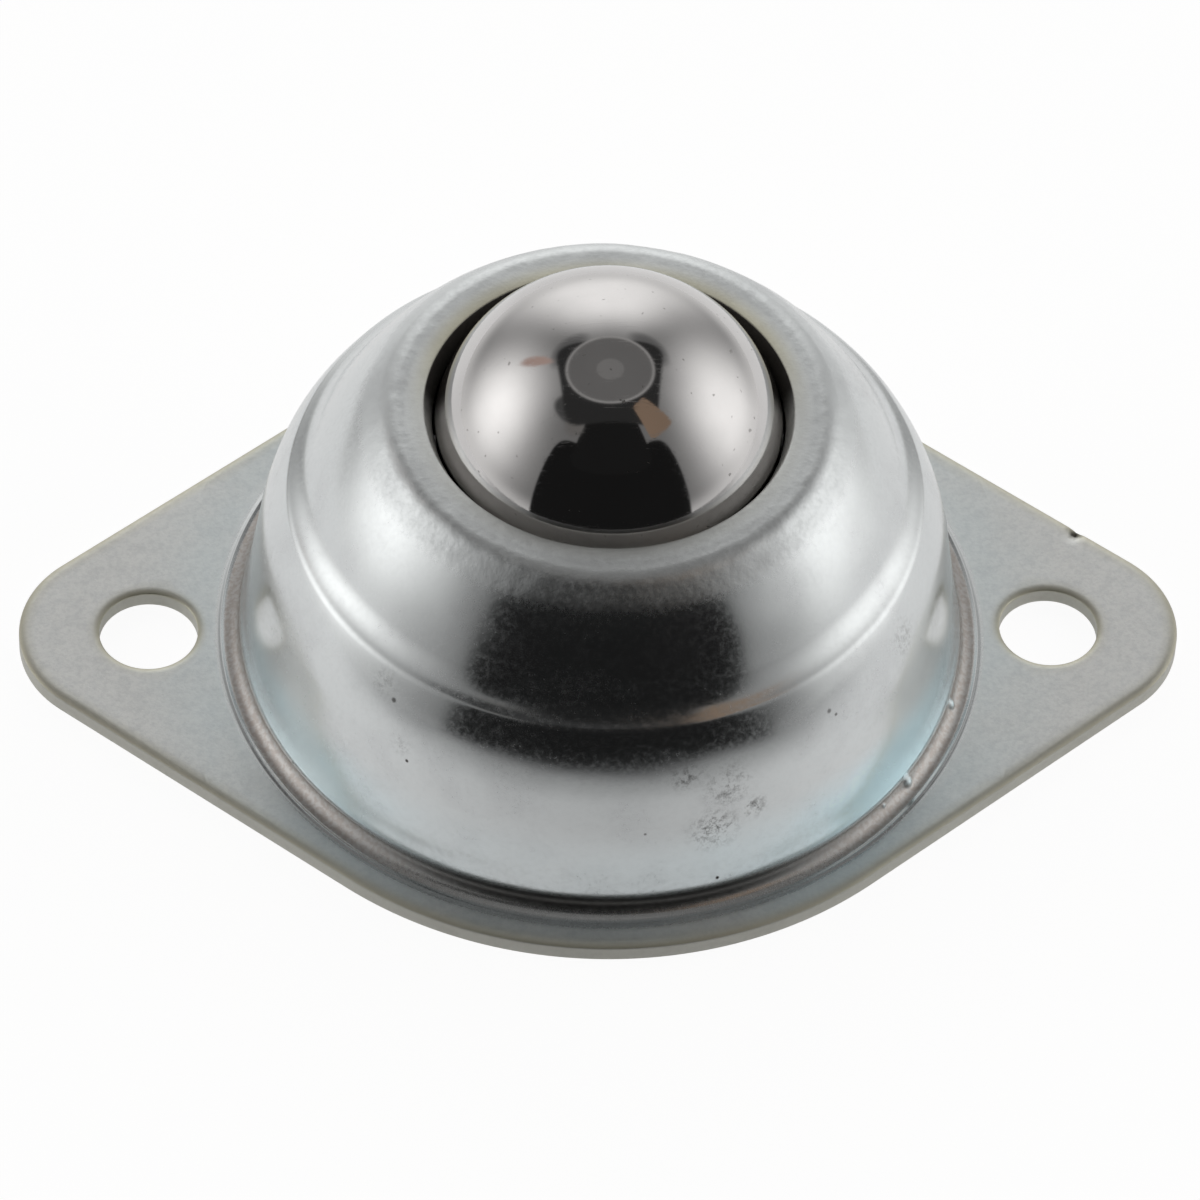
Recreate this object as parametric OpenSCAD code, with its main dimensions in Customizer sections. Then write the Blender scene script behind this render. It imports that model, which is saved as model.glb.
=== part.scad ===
// Flanged ball transfer unit with a pressed housing.
// One big load ball runs on a bed of small support balls in a hardened cup.
// The drawn housing holds the ball by its rolled lip and bolts down by two holes.
// Millimetres, +Z up.  The origin is the centre of the flange's underside,
// and the two bolt holes lie on the X axis.

/* [Flange] */
// Distance between the centres of the two bolt holes
hole_spacing = 57.5; // [54:0.5:66]
// Diameter of each bolt hole
hole_d = 6.3; // [4:0.1:8]
// Thickness of the sheet that the housing is pressed from
sheet_t = 1.2; // [0.8:0.1:1.6]
// Width of the flange across its middle
flange_w = 52; // [50:0.5:60]
// Radius of the rounded ends of the flange
tip_r = 7.2; // [6:0.1:10]
// How far the centre of each rounded end lies outside its bolt hole
tip_shift = 1.05; // [0:0.05:2]

/* [Ball] */
// Diameter of the load ball
ball_d = 22.2; // [21.6:0.05:22.8]
// Height of the load ball's centre above the flange's underside
ball_z = 18.9; // [18.6:0.05:19.2]

/* [Housing] */
// Outer radius of the drum wall where it leaves the base fillet
drum_r = 22.88; // [22.4:0.02:23.2]
// Draft of the drum wall from upright, in degrees
drum_draft = 8.4; // [6:0.1:10]
// Fillet between the flange and the drum wall
base_fillet = 1.2; // [0.6:0.1:1.8]
// Height at which the drum wall turns into the shoulder
shoulder_z = 9.9; // [9:0.1:11]
// Radius of the shoulder's arc, seen in section
shoulder_r = 12; // [11:0.1:13]
// Slope of the shoulder where the step begins, in degrees
shoulder_end = 32; // [30:0.5:36]
// Radius of the edge where the shoulder turns into the step
step_edge = 1.0; // [0.5:0.05:1.15]
// Slope of the step's edge where its hollow begins, in degrees
step_turn = 60; // [54:1:68]
// Radius of the hollow between the step and the crown
step_hollow = 3.45; // [2.6:0.05:4.4]
// Slope at the crown's foot, in degrees
crown_start = 26.5; // [24:0.5:29]
// Slope at the crown's top, in degrees
crown_end = 46.4; // [42:0.2:50]
// Radius of the crown's arc, seen in section
crown_r = 19.5; // [18:0.1:21]
// Radius of the rounded edge between the crown and the flat top
top_edge = 1.75; // [1.2:0.05:2.4]
// Width of the mouth, where its wall meets the flat top
mouth_d = 23.0; // [22.8:0.05:23.6]
// Radius of the edge between the flat top and the mouth's wall
mouth_edge = 0.15; // [0.1:0.01:0.25]

/* [Support balls and cup] */
// Diameter of each support ball
support_d = 3.175; // [2.8:0.005:3.3]
// Wall thickness of the hardened cup
cup_t = 1.4; // [1:0.1:1.6]

/* [Bottom cover] */
// Thickness of the cover's sheet
cover_t = 1.2; // [0.8:0.1:1.4]
// How far the cover's floor lies above the mounting face
cover_recess = 0.2; // [0.1:0.1:0.6]
// Half angle of the dished seat under the cup, in degrees
seat_angle = 28; // [22:1:32]
// Slope of the wall between the seat and the floor, in degrees
seat_wall = 65; // [55:1:75]
// Bend radius in the cover, at the middle of the sheet
cover_bend = 1.2; // [0.9:0.1:1.6]
// Height of the cover's skirt above the mounting face
skirt_h = 5.6; // [5:0.1:7]

/* [Fits] */
// Running clearance between the balls and what they roll on
run_gap = 0.02; // [0.01:0.01:0.05]
// Clearance between the load ball and the housing's lip
lip_gap = 0.08; // [0.05:0.01:0.15]
// Clearance between pressed parts that seat in each other
seat_gap = 0.02; // [0.01:0.01:0.05]

/* [Hidden] */

cut = 1;             // how far a cut runs past the face it starts from
arc_steps = 10;      // straight pieces in each small arc of a section
tip_steps = 28;      // straight pieces in each arc of the flange's outline
fine = 96;           // facets of the round solids
support_fine = 64;   // facets of the support balls

ball_r = ball_d / 2;
support_r = support_d / 2;

// ---- helpers -------------------------------------------------------------

// The unit vector at an angle in the section plane (x is the radius, y is the height)
function ray(a) = [cos(a), sin(a)];

// Points of an arc, from one angle to another
function arc(c, r, from, to, steps = arc_steps) =
    [for (i = [0:steps]) c + r * ray(from + (to - from) * i / steps)];

// The same list, backwards
function reverse(list) = [for (i = [len(list) - 1:-1:0]) list[i]];

// Angle at c1 of the point where the circles (c1, r1) and (c2, r2) cross.
// side is 1 or -1 and picks one of the two crossings.
function cross_angle(c1, r1, c2, r2, side) =
    let (d = norm(c2 - c1))
    atan2(c2.y - c1.y, c2.x - c1.x) + side * acos((d * d + r1 * r1 - r2 * r2) / (2 * d * r1));

// One side of a bent sheet: the arcs of its middle line, each [centre, radius, from, to],
// moved sideways by off.  Positive off is to the left of the way the arcs run.
function sheet_side(arcs, off) = [
    for (a = arcs) each arc(a[0], a[1] - sign(a[3] - a[2]) * off, a[2], a[3])
];

// Section of a bent sheet of thickness t along the arcs
function sheet_section(arcs, t) =
    concat(sheet_side(arcs, t / 2), reverse(sheet_side(arcs, -t / 2)));

// ---- section of the housing ------------------------------------------------

// The drum wall is a straight line with its normal at drum_draft above level.
wall_dir = ray(drum_draft);
base_z = sheet_t + base_fillet;
wall_d = wall_dir * [drum_r, base_z];

// Radius on the outer face of the drum wall at height z, moved in by inset
function wall_r(z, inset = 0) = (wall_d - inset - wall_dir.y * z) / wall_dir.x;

// Centres of the arcs, each tangent to the one before
base_c = [wall_r(base_z, -base_fillet), base_z];
shoulder_c = [wall_r(shoulder_z), shoulder_z] - shoulder_r * wall_dir;
edge_c = shoulder_c + (shoulder_r - step_edge) * ray(shoulder_end);
hollow_c = edge_c + (step_edge + step_hollow) * ray(step_turn);
crown_c = hollow_c - (step_hollow + crown_r) * ray(crown_start);
top_c = crown_c + (crown_r - top_edge) * ray(crown_end);
housing_h = top_c.y + top_edge;

// The mouth's wall slopes in from the flat top to the lip that holds the ball.
lip_sphere = ball_r + lip_gap;
lip = [0, ball_z] + lip_sphere * ray(asin((housing_h - sheet_t - ball_z) / lip_sphere));
mouth_r = mouth_d / 2;
mouth_slope = atan2(mouth_r - lip.x, sheet_t);
mouth_c = [mouth_r + mouth_edge * (1 - sin(mouth_slope)) / cos(mouth_slope), housing_h - mouth_edge];
mouth_end = mouth_c + mouth_edge * ray(180 - mouth_slope);

// Outer face, from the flange's top to the lip
outer_face = concat(
    arc(base_c, base_fillet, 270, 180 + drum_draft),
    arc(shoulder_c, shoulder_r, drum_draft, shoulder_end),
    arc(edge_c, step_edge, shoulder_end, step_turn),
    arc(hollow_c, step_hollow, 180 + step_turn, 180 + crown_start),
    arc(crown_c, crown_r, crown_start, crown_end),
    arc(top_c, top_edge, crown_end, 90),
    arc(mouth_c, mouth_edge, 90, 180 - mouth_slope)
);

// Inner face, one sheet thickness behind, from the lip's foot to the flange's underside
crown_top_a = asin((housing_h - sheet_t - crown_c.y) / (crown_r - sheet_t));
corner_a = cross_angle(shoulder_c, shoulder_r - sheet_t, hollow_c, step_hollow + sheet_t, -1);
corner = shoulder_c + (shoulder_r - sheet_t) * ray(corner_a);
hollow_a = 360 + atan2(corner.y - hollow_c.y, corner.x - hollow_c.x);
inner_face = concat(
    [lip],
    arc(crown_c, crown_r - sheet_t, crown_top_a, crown_start),
    arc(hollow_c, step_hollow + sheet_t, 180 + crown_start, hollow_a),
    arc(shoulder_c, shoulder_r - sheet_t, corner_a, drum_draft),
    arc(base_c, base_fillet + sheet_t, 180 + drum_draft, 270)
);

// ---- outline of the flange ---------------------------------------------------

// Two end circles and one big circle, joined by their common tangents
tip_x = hole_spacing / 2 + tip_shift;
tangent_a = acos((flange_w / 2 - tip_r) / tip_x);
flange_outline = concat(
    arc([tip_x, 0], tip_r, -tangent_a, tangent_a, tip_steps),
    arc([0, 0], flange_w / 2, tangent_a, 180 - tangent_a, tip_steps),
    arc([-tip_x, 0], tip_r, 180 - tangent_a, 180 + tangent_a, tip_steps),
    arc([0, 0], flange_w / 2, 180 + tangent_a, 360 - tangent_a, tip_steps)
);

// ---- support balls and cup ---------------------------------------------------

// The support balls' centres lie on a sphere around the load ball's centre.
pitch_r = ball_r + support_r + run_gap;
row_step = 2 * asin((support_d + run_gap) / (2 * pitch_r));
cup_in = pitch_r + support_r + run_gap;
cup_out = cup_in + cup_t;

// The cup's rim ends where its outside meets the inner face of the crown.
rim_a = cross_angle([0, ball_z], cup_out, crown_c, crown_r - sheet_t - seat_gap, 1);
rim_z = ball_z + cup_out * sin(rim_a);

// ---- section of the bottom cover -----------------------------------------------

floor_z = cover_recess + cover_t / 2;
seat_r = cup_out + seat_gap + cover_t / 2;
seat_end = 270 + seat_angle;
crest_c = [0, ball_z] + (seat_r + cover_bend) * ray(seat_end);
crest_end = crest_c + cover_bend * ray(90 - seat_wall);
foot_rise = cover_bend * (1 - cos(seat_wall));
foot_c = [
    crest_end.x + (crest_end.y - floor_z - foot_rise) / tan(seat_wall) + cover_bend * sin(seat_wall),
    floor_z + cover_bend
];
skirt_c = [
    wall_r(floor_z + cover_bend, sheet_t + seat_gap + cover_t / 2 + cover_bend),
    floor_z + cover_bend
];
cover_arcs = [
    [[0, ball_z], seat_r, 270, seat_end],
    [crest_c, cover_bend, seat_end - 180, 90 - seat_wall],
    [foot_c, cover_bend, 270 - seat_wall, 270],
    [skirt_c, cover_bend, 270, 360 + drum_draft]
];

// Middle of the skirt's top edge
skirt_end = [
    wall_r(skirt_h, sheet_t + seat_gap + cover_t / 2),
    skirt_h
];
cover_section = concat(
    sheet_side(cover_arcs, cover_t / 2),
    [skirt_end - cover_t / 2 * wall_dir, skirt_end + cover_t / 2 * wall_dir],
    reverse(sheet_side(cover_arcs, -cover_t / 2))
);

// ---- parts -------------------------------------------------------------------

// The housing: one sheet, drawn into a stepped dome with a two-hole flange
module housing() {
    color([0.78, 0.80, 0.81])
    difference() {
        union() {
            linear_extrude(sheet_t)
                polygon(flange_outline);
            rotate_extrude($fn = fine)
                polygon(concat([[0, 0], [base_c.x, 0]], outer_face, [[0, mouth_c.y]]));
        }
        rotate_extrude($fn = fine)
            polygon(concat(
                [[0, housing_h + cut], [mouth_end.x, housing_h + cut], mouth_end],
                inner_face,
                [[base_c.x, -cut], [0, -cut]]
            ));
        for (side = [-1, 1])
            translate([side * hole_spacing / 2, 0, -cut])
                cylinder(d = hole_d, h = sheet_t + 2 * cut, $fn = fine);
    }
}

// The bottom cover: a pressed disc that closes the drum and carries the cup on its dished seat
module bottom_cover() {
    color([0.70, 0.72, 0.73])
    rotate_extrude($fn = fine)
        polygon(cover_section);
}

// The hardened cup that the support balls roll in
module race_cup() {
    color([0.45, 0.45, 0.47])
    rotate_extrude($fn = fine)
        difference() {
            translate([0, ball_z]) circle(r = cup_out, $fn = fine);
            translate([0, ball_z]) circle(r = cup_in, $fn = fine);
            translate([-cup_out - cut, rim_z]) square(2 * (cup_out + cut));
            translate([-cup_out - cut, ball_z - cup_out - cut]) square([cup_out + cut, 2 * (cup_out + cut)]);
        }
}

// The load ball
module load_ball() {
    color([0.36, 0.36, 0.37])
    translate([0, 0, ball_z])
        sphere(d = ball_d, $fn = fine);
}

// One ring of support balls; row 1 is the single ball at the bottom of the cup
module support_balls_row(row) {
    angle = (row - 1) * row_step;
    ring_r = pitch_r * sin(angle);
    count = row == 1 ? 1 : floor(180 / asin((support_d + run_gap) / (2 * ring_r)));
    color([0.62, 0.62, 0.64])
    for (i = [0:count - 1])
        rotate(360 * i / count)
            translate([ring_r, 0, ball_z - pitch_r * cos(angle)])
                sphere(d = support_d, $fn = support_fine);
}

housing();
bottom_cover();
race_cup();
load_ball();
support_balls_row(1);  // support_balls_row_1
support_balls_row(2);  // support_balls_row_2
support_balls_row(3);  // support_balls_row_3
support_balls_row(4);  // support_balls_row_4
support_balls_row(5);  // support_balls_row_5
support_balls_row(6);  // support_balls_row_6
support_balls_row(7);  // support_balls_row_7
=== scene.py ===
# %% [markdown]
# # A pressed-steel ball transfer unit
# One polished ball turns in a drawn, zinc-plated housing that bolts down by two holes. The packed
# CAD model is the frame: it says where everything is. This file gives each part its finished surface.
# The box of the CAD model is kept.

# %% Load the frame
import math

import bmesh
import bpy
import numpy as np
from mathutils import Matrix, Vector


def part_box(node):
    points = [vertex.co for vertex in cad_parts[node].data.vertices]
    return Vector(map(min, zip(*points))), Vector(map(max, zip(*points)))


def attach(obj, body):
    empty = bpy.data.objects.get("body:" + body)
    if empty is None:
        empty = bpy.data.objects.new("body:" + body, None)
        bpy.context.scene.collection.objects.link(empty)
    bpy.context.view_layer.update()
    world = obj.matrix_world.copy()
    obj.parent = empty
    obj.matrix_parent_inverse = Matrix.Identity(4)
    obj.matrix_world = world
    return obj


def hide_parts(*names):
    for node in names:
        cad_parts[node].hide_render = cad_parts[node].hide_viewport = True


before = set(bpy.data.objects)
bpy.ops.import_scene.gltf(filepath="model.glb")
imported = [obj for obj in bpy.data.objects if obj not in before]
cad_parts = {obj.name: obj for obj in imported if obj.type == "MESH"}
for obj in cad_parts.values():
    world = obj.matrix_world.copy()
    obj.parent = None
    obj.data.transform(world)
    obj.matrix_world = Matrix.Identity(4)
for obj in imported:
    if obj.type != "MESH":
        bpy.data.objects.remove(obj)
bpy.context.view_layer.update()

MM = 0.001  # sections are worked out in millimetres, and meshes are made in metres

# %% [markdown]
# ## Measures
# The housing's section is a chain of arcs that touch each other. Only the driving sizes are written
# here, the same ones that shaped the CAD part, and the arcs' centres follow from them. The ball, the
# flange's width and its length are read from the frame itself.

# %% The driving sizes, in millimetres and degrees
ball_low, ball_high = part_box("load_ball")
ball_r = (ball_high.x - ball_low.x) / 2 / MM
ball_z = (ball_high.z + ball_low.z) / 2 / MM
housing_low, housing_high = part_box("housing")

sheet_t = 1.2
flange_r = (housing_high.y - housing_low.y) / 2 / MM
hole_x, hole_r = 57.5 / 2, 6.3 / 2
tip_r = 7.2
tip_x = housing_high.x / MM - tip_r
drum_r, drum_draft, base_fillet = 22.88, 8.4, 1.2
shoulder_z, shoulder_r, shoulder_end = 9.9, 12.0, 32.0
step_edge, step_turn, step_hollow = 1.0, 60.0, 3.45
crown_r, crown_start, crown_end = 19.5, 26.5, 46.4
top_edge, mouth_r, mouth_edge, lip_gap = 1.75, 11.5, 0.15, 0.08
print(f"ball {2 * ball_r:.2f} mm at height {ball_z:.2f} mm, flange {2 * flange_r:.1f} mm wide")


# %% Arcs and straight stretches of a section
def ray(angle):
    """The unit vector (cos, sin) at an angle in degrees, or one row for each angle of an array."""
    angle = np.radians(angle)
    return np.stack([np.cos(angle), np.sin(angle)], axis=-1)


def arc(centre, radius, start, end, step):
    """centre + radius * ray(t) for t from start to end, with a point about every step millimetres."""
    length = abs(math.radians(end - start)) * radius
    return np.asarray(centre) + radius * ray(np.linspace(start, end, max(4, math.ceil(length / step) + 1)))


def fill(points, step):
    """Cuts each straight stretch that is longer than step into equal parts:
    p + (q - p) * k / n for k = 0 .. n-1, with n = length / step rounded up."""
    span = np.diff(points, axis=0)
    parts = np.maximum(1, np.ceil(np.linalg.norm(span, axis=1) / step)).astype(int)
    first = np.repeat(np.arange(len(span)), parts)
    k = np.arange(len(first)) - np.repeat(np.cumsum(parts) - parts, parts)
    return np.vstack([points[first] + span[first] * (k / parts[first])[:, None], points[-1:]])


def rise(value, low, high):
    """A smooth step from 0 at low to 1 at high: 3t^2 - 2t^3 with t the clipped share of the way."""
    t = np.clip((value - low) / (high - low), 0, 1)
    return t * t * (3 - 2 * t)


# %% Centres of the housing's arcs, each touching the one before
wall_dir = ray(drum_draft)
base_z = sheet_t + base_fillet
wall_d = wall_dir @ [drum_r, base_z]


def wall_radius(z, inset=0.0):
    """Radius of the drum wall at height z, moved in by inset: a line whose normal is wall_dir."""
    return (wall_d - inset - wall_dir[1] * z) / wall_dir[0]


base_c = np.array([wall_radius(base_z, -base_fillet), base_z])
shoulder_c = np.array([wall_radius(shoulder_z), shoulder_z]) - shoulder_r * wall_dir
edge_c = shoulder_c + (shoulder_r - step_edge) * ray(shoulder_end)
hollow_c = edge_c + (step_edge + step_hollow) * ray(step_turn)
crown_c = hollow_c - (step_hollow + crown_r) * ray(crown_start)
top_c = crown_c + (crown_r - top_edge) * ray(crown_end)
housing_h = top_c[1] + top_edge

lip_sphere = ball_r + lip_gap
lip_turn = math.degrees(math.asin((housing_h - sheet_t - ball_z) / lip_sphere))
lip = np.array([0, ball_z]) + lip_sphere * ray(lip_turn)
mouth_slope = math.atan2(mouth_r - lip[0], sheet_t)
mouth_c = np.array([
    mouth_r + mouth_edge * (1 - math.sin(mouth_slope)) / math.cos(mouth_slope),
    housing_h - mouth_edge,
])
mouth_turn = 180 - math.degrees(mouth_slope)
print(f"housing {housing_h:.2f} mm high, its lip is {2 * lip[0]:.2f} mm wide, so the ball stays in")

# %% [markdown]
# ## The section of the dome
# A lathe profile would do for a first look, but the real sheet carries the marks of its tools: a
# bead coined into the flange around the dome, a band that the die pressed a little deeper between
# that bead and the wall, and a slight flare where the wall sets off from its foot. They are added to
# the section as small heights along its normal. The mouth at the top has a crisp edge, and from
# there a sloping wall runs in to the lip that holds the ball. Rows lie close together only where the
# section bends fast.

# %% The outer face, from the edge of the mouth down to the flange
FINE, COARSE = 0.11, 0.32  # spacing of the rows on tight bends and on wide arcs
ring_end = 24.55           # radius where the section ends and the flange's own rows begin
close_below = 4.6          # height on the wall below which the rows lie close


def wall_rows(start, end, step):
    """Points down the drum wall from one height to another."""
    return fill(np.array([[wall_radius(start), start], [wall_radius(end), end]]), step)


outer_face = np.vstack([
    arc(mouth_c, mouth_edge, mouth_turn, 90, 0.03),
    arc(top_c, top_edge, 90, crown_end, FINE),
    arc(crown_c, crown_r, crown_end, crown_start, COARSE)[1:],
    arc(hollow_c, step_hollow, 180 + crown_start, 180 + step_turn, FINE * 1.4)[1:],
    arc(edge_c, step_edge, step_turn, shoulder_end, FINE)[1:],
    arc(shoulder_c, shoulder_r, shoulder_end, drum_draft, COARSE)[1:],
    wall_rows(shoulder_z, close_below, COARSE)[1:],
    wall_rows(close_below, base_z, FINE)[1:],
    arc(base_c, base_fillet, 180 + drum_draft, 270, 0.06)[1:],
    fill(np.array([[base_c[0], sheet_t], [ring_end, sheet_t]]), 0.045)[1:],
])
outer_face = fill(outer_face, COARSE)


def section_normal(points):
    """The slope along the points, turned a quarter so that it points away from the sheet."""
    slope = np.gradient(points, axis=0)
    normal = np.stack([-slope[:, 1], slope[:, 0]], axis=1)
    return normal / np.linalg.norm(normal, axis=1, keepdims=True)


bead_at, bead_height, bead_width = np.array([24.17, sheet_t]), 0.055, 0.12
band_from, band_to, band_depth = 197.0, 263.0, 0.03  # angles on the base fillet
turn = np.degrees(np.arctan2(outer_face[:, 1] - base_c[1], outer_face[:, 0] - base_c[0])) % 360
low = outer_face[:, 1] < base_z
band = rise(turn, band_from - 2, band_from + 2) * (1 - rise(turn, band_to - 3, band_to + 3))
band = np.where(low, band, 0)
flare, flare_z, flare_up, flare_down, flare_end = 0.09, 2.35, 0.75, 0.45, 6
spread = np.where(outer_face[:, 1] > flare_z, flare_up, flare_down)
relief = (
    bead_height * np.exp(-(np.linalg.norm(outer_face - bead_at, axis=1) / bead_width) ** 2)
    - band_depth * band
    + flare * np.exp(-(((outer_face[:, 1] - flare_z) / spread) ** 2)) * (outer_face[:, 1] < flare_end)
)
outer_face += section_normal(outer_face) * relief[:, None]
print("rows on the outer face:", len(outer_face))

# %% The inner face, one sheet thickness behind, up to the lip and on to the edge of the mouth
inner_step = 0.8
crown_top = math.degrees(math.asin((housing_h - sheet_t - crown_c[1]) / (crown_r - sheet_t)))
between = hollow_c - shoulder_c
reach = np.linalg.norm(between)
inner_r = shoulder_r - sheet_t
fold = math.degrees(math.atan2(between[1], between[0]) - math.acos(
    (reach**2 + inner_r**2 - (step_hollow + sheet_t) ** 2) / (2 * reach * inner_r)
))
corner = shoulder_c + inner_r * ray(fold)
hollow_turn = 360 + math.degrees(math.atan2(corner[1] - hollow_c[1], corner[0] - hollow_c[0]))
inner_face = fill(np.vstack([
    arc(base_c, base_fillet + sheet_t, 270, 180 + drum_draft, 0.5),
    arc(shoulder_c, inner_r, drum_draft, fold, inner_step),
    arc(hollow_c, step_hollow + sheet_t, hollow_turn, 180 + crown_start, 0.3)[1:],
    arc(crown_c, crown_r - sheet_t, crown_start, crown_top, inner_step)[1:],
    fill(np.array([lip, mouth_c + mouth_edge * ray(mouth_turn)]), 0.12),
]), inner_step)
section = np.vstack([inner_face, outer_face[1:]])
print("rows in the whole section:", len(section))

# %% [markdown]
# ## The columns round the dome
# The section is carried round the axis. A plain even spacing would waste faces, so the columns lie
# closer only where something small happens: at the drops of zinc that hang on the foot of the wall,
# and at the four places where the round flange hands over to its two ends.

# %% Angles of the columns
split_x = 24.9                # the line across each end of the flange where the fan round its hole begins
drops = [(-17.4, 0.34), (-34.9, 0.38), (-41.2, 0.16)]  # zinc drops: angle in degrees, size in millimetres
tangent = math.degrees(math.acos((flange_r - tip_r) / tip_x))
tangent_dir = ray(tangent)
split_y = (flange_r - split_x * tangent_dir[0]) / tangent_dir[1]
split_angle = math.degrees(math.atan2(split_y, split_x))


def gathered_angles(count, gatherings):
    """Even angles round the circle, with those near each gathering swapped for its own closer ones."""
    even = np.arange(count) * 360 / count - 180
    for centre, offsets in gatherings:
        away = np.abs((even - centre + 180) % 360 - 180)
        even = np.concatenate([even[away > np.max(np.abs(offsets)) + 180 / count], centre + offsets])
    return np.sort((even + 180) % 360 - 180)


corner_steps = np.array([-0.9, -0.55, -0.3, -0.15, 0, 0.15, 0.3, 0.55, 0.9])
drop_steps = np.linspace(-1.1, 1.1, 13)
corners = [split_angle, 180 - split_angle, split_angle - 180, -split_angle]
angles = gathered_angles(
    288, [(a, corner_steps) for a in corners] + [(a, drop_steps) for a, size in drops]
)
print("columns:", len(angles), "- the ends begin at", round(split_angle, 2), "degrees")

# %% [markdown]
# ## The flange
# A press shears the flange out of the sheet. The top edge is drawn down into a soft shoulder, the
# side is cut straight, and a fine burr is left below. A bevel would give the same shape everywhere,
# so the height is worked out here from the true distance to the cut: the flange is one big circle
# and two small ones, joined by their common tangents.


# %% Distance to the sheared edges, and the height that the shear leaves
def outline_distance(x, y):
    """How far (x, y) lies inside the outline: from the big circle, from the tangent line, or from the
    end's circle, whichever stretch of the outline the point faces."""
    x, y = np.abs(x), np.abs(y)
    facing_tip = np.degrees(np.arctan2(y, x - tip_x)) < tangent
    facing_big = np.degrees(np.arctan2(y, x)) > tangent
    line = flange_r - (x * tangent_dir[0] + y * tangent_dir[1])
    tip = tip_r - np.hypot(x - tip_x, y)
    big = flange_r - np.hypot(x, y)
    return np.where(facing_big, big, np.where(facing_tip & (x > tip_x * 0.9), tip, line))


def hole_distance(x, y):
    """How far (x, y) lies outside the rim of the nearer bolt hole."""
    return np.hypot(np.abs(x) - hole_x, y) - hole_r


edge_roll = dict(width=0.62, depth=0.17)
hole_roll = dict(width=0.50, depth=0.12)
nick_at, nick_size, nick_depth = np.array([30.99, 7.95]), 0.34, 0.30


def drawn_down(distance, width, depth):
    """The soft shoulder beside a cut: depth * (1 - distance / width)^2.4, and nothing past the width."""
    return depth * np.clip(1 - distance / width, 0, 1) ** 2.4


def flange_top(x, y):
    """Height of the flange's top face: the sheet, less the drawn-down edges and the nick."""
    nick = nick_depth * np.exp(-((x - nick_at[0]) ** 2 + (y - nick_at[1]) ** 2) / nick_size**2)
    return (
        sheet_t
        - drawn_down(outline_distance(x, y), **edge_roll)
        - drawn_down(hole_distance(x, y), **hole_roll)
        - nick
    )


# %% Rows between two rings of points
def fan(inner, outer, near_inner, near_outer, middle):
    """inner + t * (outer - inner). Close to both ends the rows keep the given distances in
    millimetres, squeezed where there is no room, and the middle rows share what is left."""
    span = np.linalg.norm(outer - inner, axis=1)
    near_inner, near_outer = np.array(near_inner), np.array(near_outer)
    squeeze = np.minimum(1, span / (1.25 * (near_inner[-1] + near_outer[-1])))
    start = near_inner[:, None] * squeeze
    end = span - near_outer[::-1, None] * squeeze
    share = np.linspace(0, 1, middle + 2)[1:-1, None]
    rows = np.vstack([start, start[-1] + (end[0] - start[-1]) * share, end]) / span
    return inner + rows[..., None] * (outer - inner)


burr_inset = 0.04
at_cut = [0, 0.05, 0.11, 0.18, 0.27, 0.38, 0.5, 0.64]
below_cut = [0, 0.25]
fold_angle = np.abs((angles + 90) % 180 - 90)


def boundary(inset):
    """Where each column leaves the round part: at the outline, moved in by inset, or at the split line."""
    outline = np.where(
        fold_angle > tangent, flange_r - inset, (flange_r - inset) / np.cos(np.radians(fold_angle - tangent))
    )
    split = split_x / np.maximum(np.cos(np.radians(fold_angle)), 1e-6)
    return ray(angles) * np.minimum(outline, split)[:, None]


top_boundary, low_boundary = boundary(0.0), boundary(burr_inset)
top_rows = fan(ray(angles) * ring_end, top_boundary, [0], at_cut, 3)[1:]
low_rows = fan(ray(angles) * base_c[0], low_boundary, [0], below_cut, 2)[:0:-1]
print("rows across the flange:", len(top_rows), "above,", len(low_rows), "below")


# %% The round part as one grid: underside, inner face, lip, outer face, flange top
def lifted(rows, height):
    """Rows of (x, y) with a height given to each point: height is a number or a function of x and y."""
    z = height(rows[..., 0], rows[..., 1]) if callable(height) else np.full(rows.shape[:-1], height)
    return np.concatenate([rows, z[..., None]], axis=-1)


def carried_round(profile, directions):
    """A profile of (radius, height) carried round the axis: the points (radius * direction, height)."""
    return np.concatenate([
        profile[:, None, :1] * directions[None],
        np.repeat(profile[:, None, 1:], len(directions), axis=1),
    ], axis=-1)


turned = carried_round(section, ray(angles))
round_part = np.concatenate([lifted(low_rows, 0.0), turned, lifted(top_rows, flange_top)])
print("round part:", round_part.shape[0], "rows of", round_part.shape[1])

# %% [markdown]
# ## The two ends
# Each end of the flange has a bolt hole, so its rows fan out from the hole to the outline. On the
# inside it takes over the very points where the round part stopped, and so the two can be welded.


# %% A fan of rows for one end, above or below
def end_outline(side, rim, inset):
    """The closed loop round one end: the round part's points along the split line, the tangent,
    the end's arc, and the other tangent back. side is 1 for the right end and -1 for the left."""
    local = (angles if side > 0 else angles % 360 - 180)
    own = np.flatnonzero(np.abs(local) < split_angle + 1e-6)
    own = own[np.argsort(local[own])]
    split = rim[own] * side
    end_arc = arc([tip_x, 0], tip_r - inset, tangent, -tangent, 0.3)
    straight = fill(np.vstack([split[-1], end_arc[0]]), 0.3)[1:-1]
    return np.vstack([split, straight, end_arc, straight[::-1] * [1, -1]]) * side, len(own)


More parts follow.
